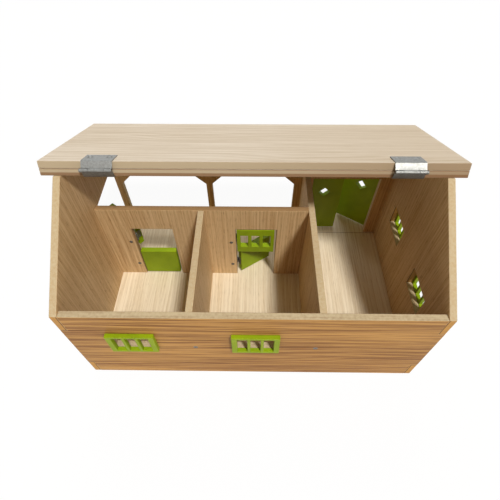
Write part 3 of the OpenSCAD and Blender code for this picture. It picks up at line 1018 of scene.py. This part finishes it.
class Fastener:
    """One screw, rivet or pin, which may be set in many places."""

    def __init__(self, profile: tuple[Spot, ...], recess: Recess | None = None) -> None:
        """Turn the fastener, and cut its recess.

        Args:
            profile: Its profile round Z.
            recess: The cross recess in its head, if it has one.
        """
        shape = turned(profile)
        self.data = bpy.data.meshes.new("fastener")
        shape.to_mesh(self.data)
        shape.free()
        if recess:
            self.data = self._cut(recess, profile[-1][1])

    def _cut(self, recess: Recess, top: float) -> bpy.types.Mesh:
        """Cut the recess into the head.

        Args:
            recess: The recess.
            top: The height of the head's top.

        Returns:
            The head with its recess.
        """
        pair = []
        shape = recess.cutter(top)
        tool = bpy.data.meshes.new("driver")
        shape.to_mesh(tool)
        shape.free()
        for data in (self.data, tool):
            pair.append(bpy.data.objects.new(data.name, data))
            bpy.context.scene.collection.objects.link(pair[-1])
        cut = pair[0].modifiers.new("Recess", "BOOLEAN")
        cut.operation = "DIFFERENCE"
        cut.object = pair[1]
        cut.solver = "EXACT"
        cut.use_self = True
        graph = bpy.context.evaluated_depsgraph_get()
        made = bpy.data.meshes.new_from_object(pair[0].evaluated_get(graph))
        for spare in pair:
            bpy.data.objects.remove(spare)
        return made

    def fit(self, node: str, body: str, places: list[Matrix], steel: bpy.types.Material) -> None:
        """Set the fastener in several places, as one piece that stands for a node.

        Args:
            node: The node's name.
            body: The body that they move with.
            places: Where each one goes.
            steel: Their material.
        """
        shape = bmesh.new()
        for place in places:
            before = len(shape.verts)
            shape.from_mesh(self.data)
            shape.verts.ensure_lookup_table()
            bmesh.ops.transform(shape, matrix=place, verts=shape.verts[before:])
        bmesh.ops.recalc_face_normals(shape, faces=shape.faces)
        made = finish_mesh(f"{node}_turned", shape, steel)
        made.data.set_sharp_from_angle(angle=math.radians(38))
        place_piece(made, body, "steel", node)


@dataclass
class RoofHinges:
    """The two butt hinges between the front roof and the flap."""

    ridge: Ridge
    steel: bpy.types.Material
    middle: float = 184 * MM
    width: float = 37 * MM
    sheet: float = 1.2 * MM
    barrel: float = 2.3 * MM
    play: float = 0.3 * MM
    row: Spot = (1.9843 * MM, -1.8828 * MM)
    tangent: Spot = (1.4954 * MM, 0.8086 * MM)
    corner: float = 6.2111 * MM
    sweep: float = 275.0
    plate_under: float = 9.7 * MM
    plate_to: float = 27.5688 * MM
    screw_from: float = 19.0688 * MM
    screw_gap: float = 23 * MM
    head: Spot = (3.6 * MM, 1.7 * MM)

    def leaf(self, flap: bool) -> RolledLeaf:
        """Give the shape of one strap.

        Args:
            flap: Whether the strap is the flap's, which has the middle knuckle.

        Returns:
            The strap.
        """
        stations, fingers = knuckle_rows(self.width, self.play, flap)
        return RolledLeaf(
            thickness=self.sheet,
            row=self.row,
            plate=((self.corner, -self.plate_under), (self.plate_to, -self.plate_under)),
            arm=(self.tangent,),
            sweep=self.sweep,
            stations=stations,
            fingers=fingers,
            bend=0.9 * MM,
        )

    def build(self) -> None:
        """Build the straps, the pins and the strap screws."""
        pin_frame = Matrix(((0, 0, 1, 0), (1, 0, 0, 0), (0, 1, 0, 0), (0, 0, 0, 1)))
        for side, word in ((-1, "left"), (1, "right")):
            shift = Matrix.Translation((side * self.middle, 0, 0))
            for flap, kind, body in ((False, "fixed", "barn"), (True, "flap", "roof_flap")):
                node = f"{word}_roof_hinge_{kind}_strap"
                place = self.ridge.frame(flap) @ shift @ pin_frame
                strap = self.leaf(flap).piece(f"{node}_sheet", place, self.steel)
                place_piece(strap, body, "steel", node)
        radius, half = self.barrel - self.sheet - 0.05 * MM, self.width / 2 - self.play / 2
        pin = Fastener(
            (
                (0, -half),
                (radius * 0.7, -half),
                (radius, -half + 0.3 * MM),
                (radius, half),
                (self.barrel * 0.93, half),
                (self.barrel, half + 0.3 * MM),
                (self.barrel, half + 1.2 * MM),
                (self.barrel * 0.8, half + 1.8 * MM),
                (0, half + 2 * MM),
            )
        )
        places = [
            self.ridge.frame(False)
            @ Matrix.Translation((side * self.middle, 0, 0))
            @ Matrix.Rotation(side * math.pi / 2, 4, "Y")
            for side in (-1, 1)
        ]
        pin.fit("roof_hinge_pins", "barn", places, self.steel)
        screw = Fastener(
            dome_profile(*self.head, 3 * MM, 1.5 * MM), Recess(2.0 * MM, 0.75 * MM, 1.1 * MM)
        )
        for flap, kind, body in ((False, "fixed", "barn"), (True, "flap", "roof_flap")):
            places = [
                self.ridge.frame(flap)
                @ Matrix.Translation(
                    (
                        side * self.middle + end * self.screw_gap / 2,
                        self.screw_from,
                        -self.plate_under - self.sheet / 2,
                    )
                )
                @ Matrix.Rotation(math.pi, 4, "X")
                @ Matrix.Rotation(math.radians(23 + 31 * side + 17 * end), 4, "Z")
                for side in (-1, 1)
                for end in (-1, 1)
            ]
            screw.fit(f"{kind}_strap_screws", body, places, self.steel)


@dataclass(frozen=True)
class DoorHang:
    """Where a door's pin stands, and how its leaves lie."""

    door: str
    pin: Spot
    heights: tuple[float, ...]
    names: tuple[str, ...]
    open: float = 0.0
    overlay: bool = False
    mirrored: bool = False

    def wall_frame(self, height: float) -> Matrix:
        """Give a hinge's frame on the wall.

        Args:
            height: The hinge's height.

        Returns:
            The frame, with the pin as its Z axis.
        """
        flip = Matrix.Diagonal((-1, 1, 1, 1)) if self.mirrored else Matrix.Identity(4)
        return Matrix.Translation((*self.pin, height)) @ flip

    def door_frame(self, height: float) -> Matrix:
        """Give a hinge's frame on the door as it stands open.

        Args:
            height: The hinge's height.

        Returns:
            The frame, with the pin as its Z axis.
        """
        over = Matrix.Diagonal((1, -1, 1, 1)) if self.overlay else Matrix.Identity(4)
        turn = Matrix.Rotation(math.radians(self.open), 4, "Z")
        return self.wall_frame(height) @ turn @ over


@dataclass
class DoorHinges:
    """The small butt hinges of the half doors and the store doors."""

    steel: bpy.types.Material
    height: float = 16 * MM
    sheet: float = 0.8 * MM
    barrel: float = 2.0 * MM
    off: float = 2.3 * MM
    play: float = 0.3 * MM
    sweep: float = 300.0
    pin_level: float = 5 * MM
    rivet_in: float = 7 * MM
    screw_in: float = 6.6 * MM

    def wall_leaf(self, width: float) -> RolledLeaf:
        """Give the leaf on the wall, which has the outer two knuckles.

        Args:
            width: The leaf's width from the pin.

        Returns:
            The leaf.
        """
        stations, fingers = knuckle_rows(self.height, self.play, False)
        roll, flat = self.barrel - self.sheet / 2, -self.off + self.sheet / 2
        return RolledLeaf(
            thickness=self.sheet,
            row=(-self.barrel - 0.3 * MM, flat),
            plate=((-width, flat),),
            arm=((0.0, -roll),),
            sweep=self.sweep,
            stations=stations,
            fingers=fingers,
            bend=0.5 * MM,
        )

    def door_leaf(self, width: float) -> RolledLeaf:
        """Give the leaf on the door's edge, which has the middle knuckle.

        Args:
            width: The leaf's width from the pin.

        Returns:
            The leaf.
        """
        stations, fingers = knuckle_rows(self.height, self.play, True)
        roll = self.barrel - self.sheet / 2
        return RolledLeaf(
            thickness=self.sheet,
            row=(roll, -self.off),
            plate=((roll, -width),),
            arm=((roll, 0.0),),
            sweep=self.sweep,
            stations=stations,
            fingers=fingers,
            bend=0.5 * MM,
        )

    def build(self) -> None:
        """Build every leaf, pin, rivet and screw of the door hinges."""
        low, high = 39.6 * MM, 98.8 * MM
        half_y, store_y = 19.3 * MM, 117.3 * MM
        left_x, right_x = -187.7 * MM, -27.35 * MM
        store_low, store_high = 45.6 * MM, 122 * MM
        halves = [
            DoorHang("left_upper", (left_x, half_y), (high,), ("",), 143),
            DoorHang("left_lower", (left_x, half_y), (low,), ("",), 0),
            DoorHang("right_upper", (right_x, half_y), (high,), ("",), 0),
            DoorHang("right_lower", (right_x, half_y), (low,), ("",), 34),
        ]
        rows, ends = (store_high, store_low), ("_top", "_bottom")
        stores = [
            DoorHang("store_left", (92 * MM, store_y), rows, ends, 0, True),
            DoorHang("store_right", (219 * MM, store_y), rows, ends, 34, True, True),
        ]
        edge_pin = Fastener(
            (
                (0, -2 * MM),
                (0.7 * MM, -2 * MM),
                (0.7 * MM, 0),
                (1.4 * MM, 0),
                (1.3 * MM, 0.25 * MM),
                (0.7 * MM, 0.4 * MM),
                (0, 0.4 * MM),
            )
        )
        for hang in halves + stores:
            wide, deep = (11 * MM, 6.4 * MM) if hang.overlay else (14 * MM, 9 * MM)
            body = f"{hang.door}_door"
            spots = []
            for height, end in zip(hang.heights, hang.names):
                node = f"{hang.door}{end}_wall_leaf"
                leaf = self.wall_leaf(wide).piece(
                    f"{node}_sheet", hang.wall_frame(height), self.steel
                )
                place_piece(leaf, "barn", "steel", node)
                node = f"{hang.door}{end}_door_leaf"
                leaf = self.door_leaf(deep).piece(
                    f"{node}_sheet", hang.door_frame(height), self.steel
                )
                place_piece(leaf, body, "steel", node)
                for level in (-self.pin_level, self.pin_level):
                    spots.append(
                        hang.door_frame(height)
                        @ Matrix.Translation(
                            (self.barrel - self.sheet, -(deep + self.off) / 2, level)
                        )
                        @ Matrix.Rotation(-math.pi / 2, 4, "Y")
                    )
            edge_pin.fit(f"{hang.door}_leaf_pins", body, spots, self.steel)
        self._fixed_fasteners(halves, stores)

    def _fixed_fasteners(self, halves: list[DoorHang], stores: list[DoorHang]) -> None:
        """Build the pins, the rivets and the screws that stay on the walls.

        Args:
            halves: The half doors.
            stores: The store doors.
        """
        radius, half = self.barrel - self.sheet - 0.05 * MM, self.height / 2
        pin = Fastener(
            (
                (0, -half),
                (radius * 0.8, -half),
                (radius, -half + 0.2 * MM),
                (radius, half - 0.15 * MM),
                (1.7 * MM, half - 0.15 * MM),
                (1.7 * MM, half + 0.1 * MM),
                (1.3 * MM, half + 0.4 * MM),
                (0, half + 0.45 * MM),
            )
        )
        frames = [h.wall_frame(z) for h in halves + stores for z in h.heights]
        pin.fit("door_hinge_pins", "barn", frames, self.steel)
        rivet = Fastener(dome_profile(2.9 * MM, 1.3 * MM, 2 * MM, 1.5 * MM))
        face, back = -self.off + self.sheet, -self.off - BOARD
        places = []
        for hang in halves:
            for z in hang.heights:
                at = hang.wall_frame(z)
                for depth, turn in ((face, -math.pi / 2), (back, math.pi / 2)):
                    seat = Matrix.Translation((-self.rivet_in, depth, 0))
                    places.append(at @ seat @ Matrix.Rotation(turn, 4, "X"))
        rivet.fit("wall_leaf_rivets", "barn", places, self.steel)
        screw = Fastener(
            dome_profile(2.4 * MM, 1.2 * MM, 2 * MM, 1.2 * MM), Recess(1.4 * MM, 0.5 * MM, 0.8 * MM)
        )
        places = [
            hang.wall_frame(z)
            @ Matrix.Translation((-self.screw_in, face, 0))
            @ Matrix.Rotation(-math.pi / 2, 4, "X")
            @ Matrix.Rotation(math.radians(20 + 900 * z / 0.1), 4, "Z")
            for hang in stores
            for z in hang.heights
        ]
        screw.fit("store_wall_leaf_screws", "barn", places, self.steel)


@dataclass
class WallScrews:
    """The countersunk screws through the back wall into the partitions."""

    steel: bpy.types.Material
    wall_y: float = -165 * MM
    height: float = 90.5 * MM
    across: Spot = (-75.6 * MM, 85.2 * MM)

    def build(self) -> None:
        """Build both screws."""
        screw = Fastener(
            (
                (0, -3 * MM),
                (1.6 * MM, -3 * MM),
                (1.6 * MM, -1.7 * MM),
                (3.2 * MM, -0.15 * MM),
                (3.25 * MM, 0),
                (2.6 * MM, 0.08 * MM),
                (0, 0.1 * MM),
            ),
            Recess(2.1 * MM, 0.75 * MM, 1.2 * MM),
        )
        places = [
            Matrix.Translation((x, self.wall_y, self.height))
            @ Matrix.Rotation(math.pi / 2, 4, "X")
            @ Matrix.Rotation(math.radians(turn), 4, "Z")
            for x, turn in zip(self.across, (25, 62))
        ]
        screw.fit("back_wall_screws", "barn", places, self.steel)


@dataclass(frozen=True)
class Lamp:
    """One far lamp: its power, colour, apparent width and the way its light goes."""

    name: str
    power: float
    colour: Colour
    width: float
    ray: Point


@dataclass
class Studio:
    """The floor, the light and the camera."""

    at: Point = (1.80 * MM, -374.3 * MM, 583.4 * MM)
    down: float = math.radians(52.8)
    aside: float = math.radians(-0.97)
    roll: float = math.radians(0.32)
    lens: float = 27.83
    sky: float = 0.25
    sky_tone: Colour = (1.0, 0.77, 0.5)
    floor_glow: float = 0.94
    floor_half: float = 6.0
    floor_drop: float = 0.2 * MM
    lights: tuple[Lamp, ...] = (
        Lamp("overhead_lamp", 3.1, (1.0, 0.985, 0.95), math.radians(8.5), (-0.264, 0.409, -0.871)),
        Lamp("front_lamp", 1.0, (0.88, 0.95, 1.0), math.radians(40.0), (0.08, -0.8, -0.6)),
    )

    def camera(self) -> None:
        """Put the camera where the photograph was taken from."""
        forward = Vector(
            (
                math.sin(self.aside) * math.cos(self.down),
                math.cos(self.aside) * math.cos(self.down),
                -math.sin(self.down),
            )
        )
        level = Vector((math.cos(self.aside), -math.sin(self.aside), 0))
        below = forward.cross(level)
        right = math.cos(self.roll) * level + math.sin(self.roll) * below
        up = math.sin(self.roll) * level - math.cos(self.roll) * below
        data = bpy.data.cameras.new("photo_camera")
        data.sensor_width = 36
        data.lens = self.lens
        data.clip_start = 0.02
        data.clip_end = 50
        made = bpy.data.objects.new("photo_camera", data)
        made.matrix_world = Matrix.Translation(self.at) @ Matrix(
            (right, up, -forward)
        ).transposed().to_4x4()
        bpy.context.scene.collection.objects.link(made)
        bpy.context.scene.camera = made

    def lamps(self) -> None:
        """Hang a soft lamp overhead on the camera's side, and a weak broad one in front."""
        for lamp in self.lights:
            data = bpy.data.lights.new(lamp.name, "SUN")
            data.energy = lamp.power
            data.color = lamp.colour
            data.angle = lamp.width
            made = bpy.data.objects.new(lamp.name, data)
            made.rotation_euler = Vector(lamp.ray).to_track_quat("-Z", "Y").to_euler()
            bpy.context.scene.collection.objects.link(made)

    def sky_and_floor(self) -> None:
        """Light the scene evenly, and lay a white floor that keeps a faint shadow."""
        world = bpy.data.worlds.new("studio_sky")
        bpy.context.scene.world = world
        world.use_nodes = True
        tree = world.node_tree
        tree.nodes.clear()
        path = tree.nodes.new("ShaderNodeLightPath")
        seen = tree.nodes.new("ShaderNodeMath")
        seen.operation = "MAXIMUM"
        tree.links.new(path.outputs["Is Camera Ray"], seen.inputs[0])
        tree.links.new(path.outputs["Is Glossy Ray"], seen.inputs[1])
        white, soft = (tree.nodes.new("ShaderNodeBackground") for _ in range(2))
        for shown, power, tone in ((white, 1.0, (1, 1, 1)), (soft, self.sky, self.sky_tone)):
            shown.inputs["Strength"].default_value = power
            shown.inputs["Color"].default_value = (*tone, 1)
        mix = tree.nodes.new("ShaderNodeMixShader")
        out = tree.nodes.new("ShaderNodeOutputWorld")
        tree.links.new(seen.outputs[0], mix.inputs[0])
        tree.links.new(soft.outputs[0], mix.inputs[1])
        tree.links.new(white.outputs[0], mix.inputs[2])
        tree.links.new(mix.outputs[0], out.inputs["Surface"])
        shape = bmesh.new()
        bmesh.ops.create_grid(shape, x_segments=1, y_segments=1, size=self.floor_half)
        r = Recipe("studio_floor")
        path = r.node("ShaderNodeLightPath")
        r.look(Base_Color=(0.86, 0.86, 0.86), Roughness=0.9, Specular_IOR_Level=0.0)
        glow = r.node("ShaderNodeEmission", None, {"Color": (1.0, 1.0, 1.0), "Strength": 1.0})
        mix = r.node(
            "ShaderNodeMixShader",
            None,
            {
                0: Signal(r, path.outputs["Is Camera Ray"]) * self.floor_glow,
                1: r.surface.outputs[0],
                2: glow.outputs[0],
            },
        )
        r.feed(r.output.inputs["Surface"], mix.outputs[0])
        floor = finish_mesh("studio_floor", shape, r.material)
        floor.location.z = -self.floor_drop


def main() -> None:
    """Build the barn piece by piece, then the studio."""
    logging.basicConfig(level=logging.INFO, format="%(name)s: %(message)s")
    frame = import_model()
    boards = RoundedBoards(frame["nodes"])
    ridge = Ridge()
    studio = Studio()
    steel = SteelFinish("zinc_steel").make()
    studio.camera()
    Carcass(boards).build()
    Roof(ridge).build()
    GreenParts(boards).build()
    RoofHinges(ridge, steel).build()
    DoorHinges(steel).build()
    WallScrews(steel).build()
    studio.lamps()
    studio.sky_and_floor()
    bpy.context.scene.view_settings.view_transform = "Standard"


if __name__ == "__main__":
    main()
